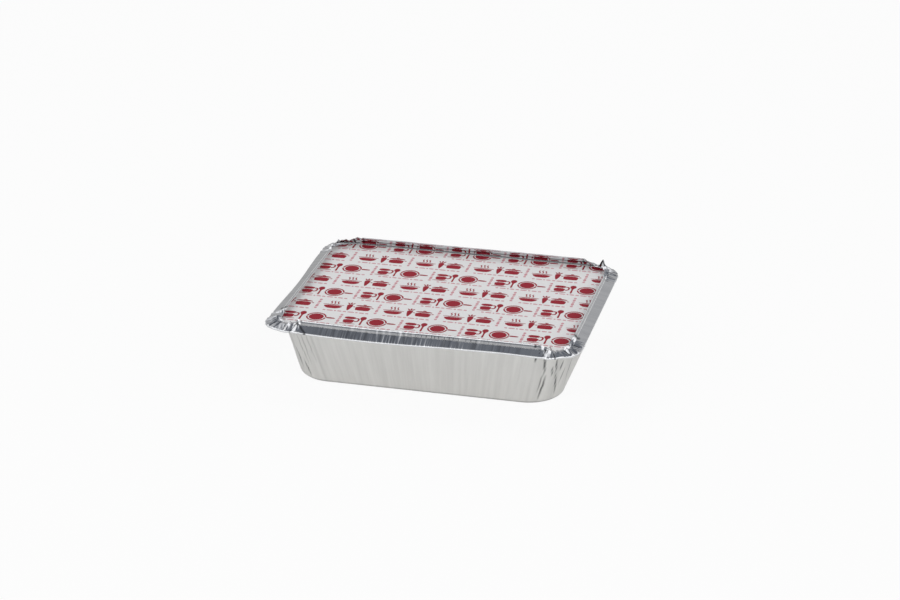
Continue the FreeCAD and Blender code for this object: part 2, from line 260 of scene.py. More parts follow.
tray = {
    "gauge": 0.09, "length": 227.0, "width": 171.5, "cornerRadius": 20.5,
    "ledgeHeight": 44.0, "ledgeWidth": 6.0, "ledgeEdge": 0.8,
    "wallInset": 11.6, "wallRadius": 27.0, "baseRadius": 25.5, "baseEdge": 3.0,
    "faceWidth": 6.5, "hemWidth": 3.3, "hemGap": 0.2, "bendRadius": 0.44,
    "rimStraights": (84.0, 54.0), "wallStraights": (66.0, 40.0),  # front and back, then ends
    "cornerOnset": 0.22, "rimWeightOnset": 0.08, "wallWeightOnset": 0.15,
    # Columns round the tray, then the rows of each form, as counts or as shares of its run
    "endColumns": 20, "endRun": 14.0, "middleColumns": (350, 60, 100, 60),
    "cornerColumns": (110, 52, 52, 92),
    "baseRows": 6, "wallRows": 12, "curveSteps": (0.33, 0.67, 1.0), "ledgeSteps": (0.35, 0.7),
    "insideRows": [0, 3, 5, 9, 13, 17],
    "bendRows": 8, "faceSteps": (0.08, 0.2, 0.35, 0.5, 0.65, 0.8, 0.92, 1.0),
    "hemSteps": (0.1, 0.28, 0.46, 0.64, 0.82, 1.0), "lipSteps": (0.25, 0.5, 0.75),
    # Shares of the way from the bend to the lip at those steps
    "faceShares": [0.05, 0.13, 0.23, 0.33, 0.43, 0.53, 0.61, 0.66],
    "hemShares": [0.69, 0.75, 0.81, 0.88, 0.94, 1.0],
    "sharpAngle": 26.0,
    # By side: front, right, back, left
    "faceAngles": (25.0, 12.0, 40.0, 18.0),
    "hemAngles": (60.0, 50.0, 62.0, 21.0),
    "faceBow": (0.0, 0.0, -0.8, 0.0),  # how far the main face bows out
    "bendLift": (0.4, 0.1, 0.0, 0.1),  # how far the roll stands up over its outermost line
    "creaseShade": (0.0, 0.0, 0.6, 0.0),  # painted shade in the pinched crease under the hem: how dark
    # By corner: front right, back right, back left, front left
    "cornerHemAngles": (-12.0, -8.0, 38.0, -12.0),
    "cornerCrumple": (1.0, 1.0, 1.0, 0.6),  # how much it is crumpled between its pleats
    # The ear that stands up at the back right: place, half width and turn
    "ear": (0.61, 0.09, 42.0),
    # The wall is pushed in at the front left: place, reach, slope, depth and run up to the ledge
    "wallHollow": (0.35, 0.75, 1.5, 2.3, 1.2),
    # Along the front, as middle, reach, start and slope for frontShare, and how deep
    "sagPlace": (-35, 55), "sagDepth": 0.7,  # the whole rim sags
    "dipPlace": (-35, 75, 1.4, 1.4), "dipDepth": 0.8,  # and its roll hangs
    "bendDroop": 0.35,  # how far the bend bulges below the ledge
    "bendDent": 1.3, "dentLimit": 0.22,  # how much of the face's folds dents the bend
    # Share of a pleat's rise at the crease that it still has at the bend, and that rise's limits
    "pleatReach": 0.55, "pleatLimits": (-0.6, 1.1),
    "foldFade": 0.75,  # how much of the face's folds is gone at the crease
    "hemSwelling": 0.13,  # the hem waves by this much between crease and lip
    # Fine folds: height, pitch and seed of the random heights; for ridges also the half width
    "sideFade": 12.0, "creaseHalfWidth": 0.75, "faceSeed": 11, "hemSeed": 31, "hemPitch": 1.1,
    "creasePlace": (-5, 46, 1.85),
    "cornerFolds": (0.11, 3.0, 51), "cornerRidges": (0.07, 2.6, 0.7, 53),
    "cornerHemFolds": (0.24, 2.7, 52),
    # Zigzags on the main face: height, pitch along the rim and across it, and start
    "crumples": ((0.09, 4.1, 5.3, 0.0), (0.05, 3.3, -4.2, 0.3)),
    "flutes": (0.12, 8.5, 71), "fluteEnds": (0.15, 1.05),  # faint, upright, on the plain wall
    "fan": (0.18, 2.6, 72), "fanLow": 0.35,  # round the wall's corners
    "foldEnd": 3.0,  # the wall's folds end this far under the ledge
    "slant": (0.16, 7.3, 1.6, 0.3),  # height, pitch, lean and the share it fades over
    "sways": ((0.006, 9, 40), (0.005, 4.3, 9)),  # of the wall's creases: swing, rate, start
    # Painted shade, how dark it is in the slits and streaks, and the shares of the way to the lip
    # they lie between
    "rimSlitBeyond": 0.2,  # slits of the rim may lie this far past the corner's ends
    # Painted shade of small dark notches on the front's hem
    "notchShadePlace": (22, 32, 1.6), "notchShadeRidges": (3.1, 0.5, 61), "notchShadeEdge": (1.6, 0.2),
    "paintedNotchShade": 0.8, "notchShadeBand": (0.7, 0.9), "creaseBand": (0.6, 0.7),
    # Painted dark streaks on the front's face, for the darker reflections of its fine creases
    "paintedStreakPlace": (0, 62, 1.6), "paintedStreakFolds": (1.7, 63), "paintedStreakShade": 0.40,
    "slitHalfWidth": 0.011, "slitSpread": (0.8, 0.6), "slitDarkness": 2.4,
    "wallPaintedStreaks": (0.16, 9, 2.9, 75),  # painted shade in streaks round the wall's corners: darkness, lean, pitch and seed
    "paintedBaseShade": 0.3, "paintedBaseShadeHeight": 1.6,  # painted shade along the lowest part of the base's curl
}
# Pleats of the corners: place round the corner, half width, rise at the lip and at the crease
pleats = (
    ((0.09, 0.035, -0.8, -0.5), (0.17, 0.035, 2.2, 1.2), (0.28, 0.05, -0.5, -0.4),
     (0.53, 0.04, 2.3, 1.9), (0.64, 0.035, 1.6, 1.3), (0.73, 0.05, -0.6, -0.4),
     (0.84, 0.036, 2.0, 1.6), (0.92, 0.03, 1.2, 0.6), (0.97, 0.02, -0.9, -0.4)),
    ((0.05, 0.03, -0.7, -0.4), (0.14, 0.035, 1.2, 0.7), (0.29, 0.045, 1.6, 1.0),
     (0.41, 0.045, 1.8, 1.1), (0.51, 0.045, 1.8, 1.1), (0.61, 0.04, 4.8, 2.2),
     (0.76, 0.08, -0.4, -0.6), (0.95, 0.02, 0.5, 0.2)),
    ((0.04, 0.02, -0.6, -0.4), (0.1, 0.035, 1.0, 0.7), (0.24, 0.08, -1.2, -0.5),
     (0.5, 0.035, 1.7, 1.0), (0.61, 0.045, -0.5, -0.3), (0.72, 0.045, 1.2, 0.6),
     (0.84, 0.035, 0.7, 0.4), (0.94, 0.03, -0.5, -0.3)),
    ((0.03, 0.02, -0.9, -0.4), (0.09, 0.03, 1.1, 0.7), (0.25, 0.03, 0.8, 0.5),
     (0.33, 0.028, 1.1, 0.9), (0.41, 0.025, 1.0, 0.6), (0.49, 0.028, 1.2, 0.9),
     (0.58, 0.03, 0.8, 0.5), (0.8, 0.04, 1.8, 1.5), (0.87, 0.03, -0.6, -0.5),
     (0.94, 0.04, 2.4, 1.4)),
)
# Swells of the outer bend: place, half width and distance out
cornerSwells = (((0.17, 0.06, 0.6), (0.37, 0.16, -1.8)), ((0.5, 0.3, 0.7),),
                ((0.52, 0.26, 1.8),), ((0.42, 0.25, 1.7), (0.74, 0.08, 0.3)))
sideSwells = (((60, 30, -0.8),), (), (), ((0, 54, -1.3),))
# Creases of the wall's corners: place at the ledge and at the base, half width, depth, and
# the shares of the height where each begins and ends
wallCreases = (
    ((0.27, 0.05, 0.018, 0.5, 0.84, 0.99), (0.34, 0.41, 0.016, 0.9, 0.58, 1.0),
     (0.37, 0.32, 0.018, 0.3, 0.2, 0.62), (0.455, 0.335, 0.022, 1.1, 0.02, 0.56),
     (0.365, 0.615, 0.014, 0.45, 0.5, 0.74), (0.45, 0.66, 0.014, 0.5, 0.6, 0.9),
     (0.43, 0.62, 0.016, 0.65, 0.08, 0.6), (0.6, 0.55, 0.016, 0.6, 0.6, 0.8),
     (0.67, 0.62, 0.016, 0.3, 0.3, 0.62), (0.78, 0.8, 0.03, 0.3, 0.1, 1.0)),
    ((0.18, 0.2, 0.025, 0.4, 0.3, 0.9), (0.32, 0.38, 0.02, 0.8, 0.1, 0.6),
     (0.46, 0.42, 0.018, 0.5, 0.6, 1.0), (0.6, 0.52, 0.02, 0.9, 0.04, 0.5),
     (0.7, 0.74, 0.016, 0.4, 0.5, 0.9)),
    ((0.26, 0.34, 0.02, 0.5, 0.5, 0.95), (0.4, 0.34, 0.02, 0.9, 0.05, 0.55),
     (0.52, 0.58, 0.018, 0.4, 0.3, 0.8), (0.66, 0.58, 0.02, 0.7, 0.1, 0.5),
     (0.8, 0.76, 0.022, 0.3, 0.3, 0.9)),
    ((0.2, 0.24, 0.022, 0.4, 0.2, 0.8), (0.47, 0.53, 0.02, 0.6, 0.14, 0.55),
     (0.515, 0.66, 0.018, 1.0, 0.03, 0.34), (0.6, 0.7, 0.016, 0.2, 0.25, 0.95),
     (0.66, 0.76, 0.016, 0.2, 0.3, 1.0), (0.74, 0.84, 0.016, 0.15, 0.35, 1.0)),
)
# Fine creases left by folding the rim, by side: pitch, depth on the main face, on the crease
sideCreases = ((1.9, 0.16, 0.15), (7.0, 0.04, 0.06), (6.0, 0.08, 0.14), (8.0, 0.04, 0.06))
# Painted shade of the slits where the rim is pinched: place round the corner at the bend and at the
# lip, half width, and the shares of the way from the bend to the lip where each begins and ends
rimSlits = (
    ((-0.02, -0.02, 0.02, 0.8, 1.0), (0.05, 0.04, 0.006, 0.3, 0.7), (0.1, 0.13, 0.006, 0.1, 0.8),
     (0.19, 0.205, 0.013, 0.8, 1.0), (0.27, 0.22, 0.01, 0.0, 0.5), (0.5, 0.44, 0.012, 0.1, 0.8),
     (0.59, 0.54, 0.006, 0.3, 1.0), (0.72, 0.64, 0.008, 0.1, 0.8), (0.8, 0.8, 0.006, 0.2, 0.7),
     (1.07, 1.05, 0.036, 0.5, 1.0)),
    ((0.02, 0.02, 0.01, 0.5, 1.0), (0.16, 0.2, 0.008, 0.1, 0.7), (0.27, 0.3, 0.006, 0.1, 0.8),
     (0.37, 0.4, 0.006, 0.0, 0.8), (0.575, 0.6, 0.018, 0.2, 1.0), (0.68, 0.66, 0.014, 0.3, 1.0),
     (0.98, 0.98, 0.01, 0.5, 1.0)),
    ((0.01, 0.01, 0.012, 0.5, 1.0), (0.15, 0.15, 0.014, 0.3, 1.0), (0.45, 0.45, 0.008, 0.2, 0.8),
     (0.56, 0.56, 0.014, 0.5, 1.0), (0.66, 0.66, 0.008, 0.2, 0.8), (0.8, 0.8, 0.008, 0.5, 1.0)),
    ((-0.05, -0.05, 0.034, 0.5, 1.0), (0.22, 0.26, 0.008, 0.3, 0.7), (0.31, 0.3, 0.005, 0.0, 0.9),
     (0.37, 0.37, 0.005, 0.1, 1.0), (0.45, 0.45, 0.005, 0.0, 0.8), (0.52, 0.5, 0.005, 0.0, 0.5),
     (0.76, 0.72, 0.008, 0.1, 0.6), (0.86, 0.92, 0.008, 0.0, 0.8), (1.06, 0.9, 0.022, 0.0, 0.86),
     (0.97, 0.97, 0.01, 0.86, 1.0)),
)
halfLength, halfWidth = tray["length"] / 2, tray["width"] / 2


def trayColumns():
    # Columns round the tray: side, share along its straight (-1 to 1), angle round its corner
    parts = []
    for side in range(4):
        straight = (halfLength, halfWidth)[side % 2] - tray["cornerRadius"]
        middle = straight - tray["endRun"]
        ends, inner = tray["endColumns"], tray["middleColumns"][side]
        share = np.concatenate([np.linspace(-straight, -middle, ends, endpoint=False),
                                np.linspace(-middle, middle, inner, endpoint=False),
                                np.linspace(middle, straight, ends, endpoint=False)]) / straight
        angle = np.linspace(0, pi / 2, tray["cornerColumns"][side], endpoint=False)
        parts.append(np.stack([np.full(share.size, side), share, 0 * share]))
        parts.append(np.stack([np.full(angle.size, side), 1 + 0 * angle, angle]))
    return np.concatenate(parts, axis=1)


side, share, angle = trayColumns()
side = side.astype(int)
sideCos = np.array([1, 0, -1, 0])[side]
sideSin = np.array([0, 1, 0, -1])[side]
alongHalf = np.where(side % 2, halfWidth, halfLength)
outHalf = np.where(side % 2, halfLength, halfWidth)


def turnedPlan(along, out):
    # From along and out of a side to x and y
    return along * sideCos + out * sideSin, along * sideSin - out * sideCos


def outline(inset, radius):
    # Rounded rectangle inset from the rim's: plan points and outward normals by column
    along = share * (alongHalf - inset - radius) + radius * np.sin(angle)
    out = outHalf - inset - radius + radius * np.cos(angle)
    return turnedPlan(along, out), turnedPlan(np.sin(angle), np.cos(angle))


def cornerPlace(inset, radius, straights):
    # Which corner a column belongs to, and its place from 0 to 1 round it; outside 0 to 1 it
    # is on the plain straight
    start = np.where(side % 2, straights[1], straights[0])
    total = halfLength + halfWidth - 2 * inset - 2 * radius - sum(straights) + radius * pi / 2
    run = np.abs(share) * (alongHalf - inset - radius) - start + angle * radius
    place = np.where(share > 0, run / total, 1 - run / total)
    return np.where(share > 0, side, (side - 1) % 4), place


def perCorner(corner, place, table, measure, beyond=0.0):
    # Sum over a corner's rows of the table of measure(place, row), for the columns in it
    total = np.zeros_like(place)
    for number, rows in enumerate(table):
        here = (corner == number) & (place > -beyond) & (place < 1 + beyond)
        for row in rows:
            total += np.where(here, measure(place, row), 0)
    return total


rimCorner, rimPlace = cornerPlace(0, tray["cornerRadius"], tray["rimStraights"])
inCorner = (rimPlace > 0) & (rimPlace < 1)
cornerShare = eased(np.where(inCorner, rimPlace, 0))
rimAlong = share * (alongHalf - tray["cornerRadius"])
(planX, planY), (normalX, normalY) = outline(0, tray["cornerRadius"])
steps = np.hypot(np.roll(planX, -1) - planX, np.roll(planY, -1) - planY)
rimRun = np.concatenate([[0], np.cumsum(steps)[:-1]])
cornerWeight = np.where(inCorner, eased(np.minimum(rimPlace, 1 - rimPlace)
                        / tray["rimWeightOnset"]), 0)


def sideValue(values):
    # A side's value, turning into the next side's across the corner
    values = np.array(values, float)
    plain = values[side]
    turning = values[rimCorner] * (1 - cornerShare) + values[(rimCorner + 1) % 4] * cornerShare
    return np.where(inCorner, turning, plain)


def frontShare(middle, reach, start=1.0, slope=1.0):
    # By column along the front's straight: start at its middle, less slope at the reach, held
    # between 0 and 1 and eased. It is 0 elsewhere
    return (side == 0) * ~inCorner * eased(start - slope * np.abs(rimAlong - middle) / reach)


def swellOut():
    # How far the outer bend stands out by column
    def bump(place, row):
        return row[2] * eased(1 - np.abs(place - row[0]) / row[1])
    total = perCorner(rimCorner, rimPlace, cornerSwells, bump)
    for number, rows in enumerate(sideSwells):
        for row in rows:
            here = (side == number) & ~inCorner
            total += np.where(here, bump(rimAlong, row), 0)
    return total


def rimCreasing():
    # Height of the small creases by column: on the main face and on the crease of the hem
    face, crease = np.zeros_like(rimRun), np.zeros_like(rimRun)
    for number, (pitch, faceDepth, creaseDepth) in enumerate(sideCreases):
        here = (side == number) & ~inCorner
        fade = eased((tray["rimStraights"][number % 2] - np.abs(rimAlong)) / tray["sideFade"])
        narrow = ridges(rimRun, pitch, tray["creaseHalfWidth"], tray["faceSeed"] + number)
        wide = folds(rimRun, pitch * tray["hemPitch"], tray["hemSeed"] + number)
        face += np.where(here, fade * faceDepth * narrow, 0)
        crease += np.where(here, fade * creaseDepth * wide, 0)
    middle = np.where(side == 0, frontShare(*tray["creasePlace"]), 1)
    face, crease = face * middle, crease * middle
    gathered = cornerWeight * np.array(tray["cornerCrumple"])[rimCorner]
    (low, *foldShape), (high, *ridgeShape) = tray["cornerFolds"], tray["cornerRidges"]
    face += gathered * (low * folds(rimRun, *foldShape) + high * ridges(rimRun, *ridgeShape))
    depth, *hemShape = tray["cornerHemFolds"]
    crease += gathered * depth * folds(rimRun, *hemShape)
    return face, crease


def rimRows():
    # Rows of the sheet's outer face from the ledge over the bend, up the main face, over the
    # crease and the hem, round the lip and back to the cut edge: distance in from the bend,
    # height over the ledge, and the face's direction out and up. The bend is an arc of
    # bendRadius, the faces are straight, and the lip is a half circle of half the hem's gap.
    bend, gap = tray["bendRadius"], tray["hemGap"]
    face = np.radians(sideValue(tray["faceAngles"]))
    hem = np.radians(sideValue(tray["hemAngles"]))
    pressed = eased(np.minimum(rimPlace, 1 - rimPlace) / tray["cornerOnset"])
    cornerHem = np.radians(np.array(tray["cornerHemAngles"]))[rimCorner]
    hem = np.where(inCorner, hem + (cornerHem - hem) * pressed, hem)
    earPlace, earReach, earTurn = tray["ear"]
    standing = (rimCorner == 1) * eased(1 - np.abs(rimPlace - earPlace) / earReach)
    hem = hem + radians(earTurn) * standing
    lipRise, creaseRise = [perCorner(rimCorner, rimPlace, pleats,
                           lambda p, row: row[which] * tent(p - row[0], row[1]))
                           for which in (2, 3)]
    swell = swellOut()
    faceFold, creaseFold = rimCreasing()
    faceFold = faceFold + tray["pleatReach"] * np.clip(creaseRise, *tray["pleatLimits"])
    bow = sideValue(tray["faceBow"])
    sag = tray["sagDepth"] * frontShare(*tray["sagPlace"])
    dip = tray["dipDepth"] * frontShare(*tray["dipPlace"])
    rollLift = sideValue(tray["bendLift"]) - dip

    faceSin, faceCos = np.sin(face), np.cos(face)
    hemSin, hemCos = np.sin(hem), np.cos(hem)
    bendIn = bend * (1 - faceSin)
    bendUp = bend * (1 + faceCos)
    middle = (face + hem) / 2
    rise = creaseRise + creaseFold
    creaseIn = bendIn + tray["faceWidth"] * faceCos - rise * np.sin(middle)
    creaseUp = bendUp + tray["faceWidth"] * faceSin + rise * np.cos(middle)
    lift = lipRise - creaseRise
    lipIn = creaseIn + tray["hemWidth"] * hemCos - lift * hemSin
    lipUp = creaseUp + tray["hemWidth"] * hemSin + lift * hemCos
    rows = []
    for step in np.linspace(0, 1, tray["bendRows"]):
        turn = (pi - face) * step
        dent = tray["bendDent"] * np.minimum(faceFold, tray["dentLimit"])
        dent = dent * np.sin(np.minimum(turn, pi / 2))
        droop = tray["bendDroop"] * np.maximum(0, np.cos(turn)) + dent * np.cos(turn)
        # The dip is whole from a third of the bend's turn on
        droop = droop + dip * eased(step * 3)
        droop = droop - (rollLift + dip) * np.maximum(0, (turn - pi / 2) / (pi / 2 - face))
        rows.append((bend * (1 - np.sin(turn)) - swell - dent * np.sin(turn),
                     bend * (1 - np.cos(turn)) - droop, np.sin(turn), -np.cos(turn)))
    for step in tray["faceSteps"]:
        fold = faceFold * (1 - tray["foldFade"] * step)
        across = step * tray["faceWidth"]
        crumple = 0
        for height, along, over, start in tray["crumples"]:
            zig = zigzag(rimRun / along + across / over + start)
            crumple = crumple + height * cornerWeight * zig
        fold = fold + (crumple + bow) * sin(pi * step)
        inward = bendIn - swell * (1 - step) + (creaseIn - bendIn) * step - fold * faceSin
        height = bendUp + (creaseUp - bendUp) * step + fold * faceCos + rollLift * (1 - step)
        rows.append((inward, height, faceSin, faceCos))
    hemRows = []
    for step in tray["hemSteps"]:
        # One and a half waves, level at the crease and at the lip
        swelling = tray["hemSwelling"] * cos(2 * pi * (1.5 * step + 0.25))
        hemRows.append((creaseIn + (lipIn - creaseIn) * step - swelling * hemSin,
                        creaseUp + (lipUp - creaseUp) * step + swelling * hemCos))
    rows += [(inward, height, hemSin, hemCos) for inward, height in hemRows]
    for step in tray["lipSteps"]:
        turn = pi * step
        out = hemSin * cos(turn) + hemCos * sin(turn)
        up = hemCos * cos(turn) - hemSin * sin(turn)
        inward = lipIn + gap / 2 * (hemCos * sin(turn) - hemSin * (1 - cos(turn)))
        height = lipUp + gap / 2 * (hemSin * sin(turn) + hemCos * (1 - cos(turn)))
        rows.append((inward, height, out, up))
    for inward, height in hemRows[::-1]:
        rows.append((inward - gap * hemSin, height + gap * hemCos,
                     -hemSin, -hemCos))
    return [(inward, height - sag, out, up) for inward, height, out, up in rows]


def rimPaintedShade():
    # Painted shade by column of each of the rim's rows: in the pinched slits of the corners, in
    # small notches on the front's hem, in the pinched crease under the hem, and in fine dark
    # streaks on the front's face
    shares = [0.0] * tray["bendRows"] + tray["faceShares"] + tray["hemShares"]
    shares += [1.0] * len(tray["lipSteps"]) + tray["hemShares"][::-1]
    steep, floor = tray["notchShadeEdge"]
    # Painted shade of small dark notches on the front's hem
    paintedNotches = frontShare(*tray["notchShadePlace"])
    paintedNotches = paintedNotches * eased(steep * ridges(rimRun, *tray["notchShadeRidges"]) - floor)
    # Painted dark streaks on the front's face, for the darker reflections of its fine creases
    paintedStreaks = tray["paintedStreakShade"] * frontShare(*tray["paintedStreakPlace"])
    paintedStreaks = paintedStreaks * np.maximum(0, folds(rimRun, *tray["paintedStreakFolds"]))
    # Painted shade in the pinched crease under the hem
    paintedCreaseShade = sideValue(tray["creaseShade"])
    (notchShadeLow, notchShadeHigh), (creaseLow, creaseHigh) = tray["notchShadeBand"], tray["creaseBand"]
    darkness = []
    for part in shares:
        slits = perCorner(rimCorner, rimPlace, rimSlits, lambda p, row: np.sqrt(tent(
            p - row[0] - (row[1] - row[0]) * part, row[2])) * (row[3] <= part <= row[4]),
            tray["rimSlitBeyond"])
        darkness.append(slits + tray["paintedNotchShade"] * paintedNotches * (notchShadeLow < part < notchShadeHigh)
                        + paintedCreaseShade * (creaseLow < part < creaseHigh)
                        + paintedStreaks * (0 < part < creaseHigh))
    return darkness


def wallProfile():
    # Inset from the ledge's inner line, height, direction out and up, and share of the height:
    # an arc at the base, a straight wall, and a short curve out into the ledge
    tilt = np.arctan(tray["wallInset"] / tray["ledgeHeight"])
    steep = pi / 2 - tilt
    radius = tray["baseEdge"]
    tangent = radius * tan(steep / 2)
    rows = []
    for step in np.linspace(0, 1, tray["baseRows"]):
        turn = steep * step
        rows.append((tray["wallInset"] + tangent - radius * sin(turn), radius * (1 - cos(turn)),
                     sin(turn), -cos(turn), 0.0))
    low, high = rows[-1][1], tray["ledgeHeight"] - tray["ledgeEdge"]
    for part in np.linspace(0, 1, tray["wallRows"] + 1)[1:]:
        height = low + (high - low) * part
        rows.append((tray["wallInset"] * (1 - height / tray["ledgeHeight"]), height,
                     cos(tilt), -sin(tilt), part))
    startInset = rows[-1][0]
    for step in tray["curveSteps"]:
        inset = startInset * (1 - step) ** 2 - tray["ledgeEdge"] * step ** 2
        height = high * (1 - step) ** 2 + tray["ledgeHeight"] * (1 - (1 - step) ** 2)
        turn = steep * (1 - step)
        rows.append((inset, height, sin(turn), -cos(turn), 1.0))
    return rows


def creaseTent(place, part, row, halfWidth):
    # A crease runs, swaying a little, from its place at the base to its place at the ledge, and
    # is deepest halfway between its ends
    (swing, swingRate, swingStart), (kink, kinkRate, kinkStart) = tray["sways"]
    sway = swing * np.sin(swingRate * part + swingStart * row[0])
    sway = sway + kink * zigzag(kinkRate * part + kinkStart * row[1])
    across = tent(place - row[1] - (row[0] - row[1]) * part - sway, halfWidth)
    return across * tent(part - (row[4] + row[5]) / 2, (row[5] - row[4]) / 2)


def wallFolds(run, place, corner, part):
    # How far the wall stands out of its plain surface, and its painted shade: flutes on the
    # straights, the creases of the corners, with painted shade in their pinched slits, and a fan of
    # fine folds round them
    dent = perCorner(corner, place, wallCreases,
                     lambda p, row: row[3] * creaseTent(p, part, row, row[2]))
    narrow, wider = tray["slitSpread"]
    slit = perCorner(corner, place, wallCreases,
                     lambda p, row: min(1, tray["slitDarkness"] * row[3]) * creaseTent(
                         p, part, row, tray["slitHalfWidth"] * (narrow + wider * row[3])) ** 0.5)
    here = (place > 0) & (place < 1)
    weight = np.where(here, eased(np.minimum(place, 1 - place) / tray["wallWeightOnset"]), 0)
    height, *shape = tray["flutes"]
    fading, end = tray["fluteEnds"]
    flute = height * folds(run, *shape) * eased(part / fading) * eased((end - part) / fading)
    height, *shape = tray["fan"]
    low = tray["fanLow"]
    fan = weight * height * folds(run, *shape) * (low + (1 - low) * part)
    height, pitch, lean, fading = tray["slant"]
    slant = weight * height * zigzag(run / pitch + part * lean) * eased((1 - part) / fading)
    # Painted shade: faint leaning dark streaks round the corners, for the shading of the fan of
    # folds
    shade, lean, *shape = tray["wallPaintedStreaks"]
    slit = slit + shade * weight * np.maximum(0, folds(run + lean * part, *shape))
    # The folds begin over the lowest tenth of the wall
    return (flute * (1 - weight) + fan + slant) * eased(part / 0.1) - dent, slit


def trayFaceRows():
    # The sheet's outer face from the middle of the base to the hem's cut edge, as arrays by row
    # and column: points, directions out of the face, painted shade, and how far the wall's rows
    # stand out of its plain surface
    points, directions, slits, moves = [], [], [], []
    hollowPlace, hollowReach, hollowSlope, hollowDepth, hollowRun = tray["wallHollow"]
    for inset, height, out, up, part in wallProfile():
        radius = tray["baseRadius"] + (tray["wallRadius"] - tray["baseRadius"]) * part
        radius -= max(0.0, inset - tray["wallInset"])
        inward = tray["ledgeWidth"] + inset
        (x, y), (nx, ny) = outline(inward, radius)
        corner, place = cornerPlace(inward, radius, tray["wallStraights"])
        move, slit = wallFolds(rimRun, place, corner, part)
        under = tray["ledgeHeight"] - height
        move = move * eased(height / tray["baseEdge"]) * eased(under / tray["foldEnd"])
        near = eased(hollowSlope - hollowSlope * np.abs(place - hollowPlace) / hollowReach)
        pushed = hollowDepth * part * (corner == 3) * near
        move = move - pushed * eased(under / hollowRun)
        moves.append(move)
        # Painted shade: the wall's slits and streaks, and a band along the lowest part of the
        # base's curl
        slits.append(slit * eased(height / tray["baseEdge"])
                     + tray["paintedBaseShade"] * (height < tray["paintedBaseShadeHeight"]))
        points.append(np.stack([x + nx * move, y + ny * move, height + 0 * x], axis=1))
        directions.append(np.stack([nx * out, ny * out, up + 0 * x], axis=1))
    wallCount = len(points)
    rim = rimRows()

    def rimPoints(inward, height):
        return np.stack([planX - normalX * inward, planY - normalY * inward,
                         tray["ledgeHeight"] + height], axis=1)

    ledgeStart, ledgeEnd = points[-1], rimPoints(*rim[0][:2])
    for step in tray["ledgeSteps"]:
        points.append(ledgeStart * (1 - step) + ledgeEnd * step)
        directions.append(directions[wallCount - 1])
        slits.append(0 * planX)
    for inward, height, out, up in rim:
        points.append(rimPoints(inward, height))
        directions.append(np.stack([normalX * out, normalY * out, up + 0 * planX], axis=1))
    slits += rimPaintedShade()
    return np.array(points), np.array(directions), np.array(slits), np.array(moves)


def buildTray():
    outer, direction, slits, moves = trayFaceRows()
    wallCount = len(moves)
    inner = outer - direction * tray["gauge"]
    # The hidden inside of the wall needs fewer rows; each stands as far in as the deepest crease
    # of the outside between the rows on either side of it. The curve into the ledge keeps all its
    # rows, because a straight line across it would pass through the outside.
    kept = tray["insideRows"]
    keep = np.ones(len(outer), bool)
    keep[:kept[-1]] = np.isin(np.arange(kept[-1]), kept)
    for before, row, after in zip(kept, kept[1:], kept[2:] + kept[-1:]):
        deepest = moves[before:after + 1].min(axis=0)
        inner[row] -= direction[row] * (moves[row] - deepest)[:, None]
    inner = inner[keep]
    rows = np.concatenate([outer, inner[::-1]])
    count, around = rows.shape[0], rows.shape[1]
    verts = rows.reshape(-1, 3)
    n = np.arange(around)
    m = (n + 1) % around
    low = (np.arange(count - 1) * around)[:, None]
    quads = np.stack([low + n, low + m, low + around + m, low + around + n], axis=2)
    quads = quads.reshape(-1, 4)
    top, bottom = len(verts), len(verts) + 1
    verts = np.concatenate([verts, [[0, 0, tray["gauge"]], [0, 0, 0]]]) * mm
    last = (count - 1) * around
    floorFan = np.stack([m, n, 0 * n + bottom], axis=1)
    insideFan = np.stack([last + n, last + m, 0 * n + top], axis=1)
    faces = quads.tolist() + floorFan.tolist() + insideFan.tolist()
    rimFirst = wallCount + len(tray["ledgeSteps"])
    rimLast = count - int(keep[:rimFirst].sum())
    rowOf = np.repeat(np.arange(count - 1), around)
    onRim = (rowOf >= rimFirst) & (rowOf < rimLast)
    slotOf = np.concatenate([onRim.astype(np.int32), np.zeros(2 * around, np.int32)])
    piece = makeObject("foilTray", verts.tolist(), faces, [satinFoil, rimFoil], slotOf)

    climbs = np.linalg.norm(np.diff(rows[:, 0], axis=0), axis=1)
    heights = np.concatenate([[0], np.cumsum(climbs)])
    runs = np.append(rimRun, rimRun[-1] + steps[-1])
    u = np.stack([runs[n], runs[n + 1], runs[n + 1], runs[n]], axis=1)
    u = np.tile(u, (count - 1, 1, 1)).reshape(-1)
    v = np.stack([heights[:-1], heights[:-1], heights[1:], heights[1:]], axis=1)
    v = np.repeat(v[:, None, :], around, axis=1).reshape(-1)
    fan = np.zeros(3 * 2 * around)
    # The painted shade goes into the point attribute fold, which darkens the foil's colour
    shade = np.concatenate([slits, slits[keep][::-1]]).ravel()
    attribute = piece.data.attributes.new("fold", "FLOAT", "POINT")
    attribute.data.foreach_set("value", np.append(shade, [0, 0]).astype(np.float32))
    layer = piece.data.uv_layers.new(name="sheet")
    layer.data.foreach_set("uv", np.stack([np.append(u, fan), np.append(v, fan)], axis=1).ravel())
    piece.data.polygons.foreach_set("use_smooth", np.ones(len(faces), bool))
    piece.data.set_sharp_from_angle(angle=radians(tray["sharpAngle"]))
    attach(piece, "root")
    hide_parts("foil_tray")
    print("foil tray built, triangles", 2 * len(quads) + 2 * around)


buildTray()


# Print on the lid, millimetres

printing = {
    "lidTop": 44.59, "ink": 0.06,
    "halfX": 111.1, "halfY": 83.35, "cornerRadius": 22.6,
    "cellPitch": 44.4, "rowPitch": 22.9, "columns": 5, "rows": 8, "middle": (3.0, 1.9),
    "ruleDrop": 9.6, "ruleLength": 34.0, "ruleWidth": 1.5,
    "standingLength": 17.0, "standingWidth": 2.0, "standingPlace": 21.4, "motifScale": 1.12,
    "dashes": (2.2, 4.6, 1.4, 3.4, 2.6, 5.0, 1.8, 3.8, 2.4), "standingDashes": 5,
    "tangentStep": 15,  # degrees between the straight edges that stand for round corners
}


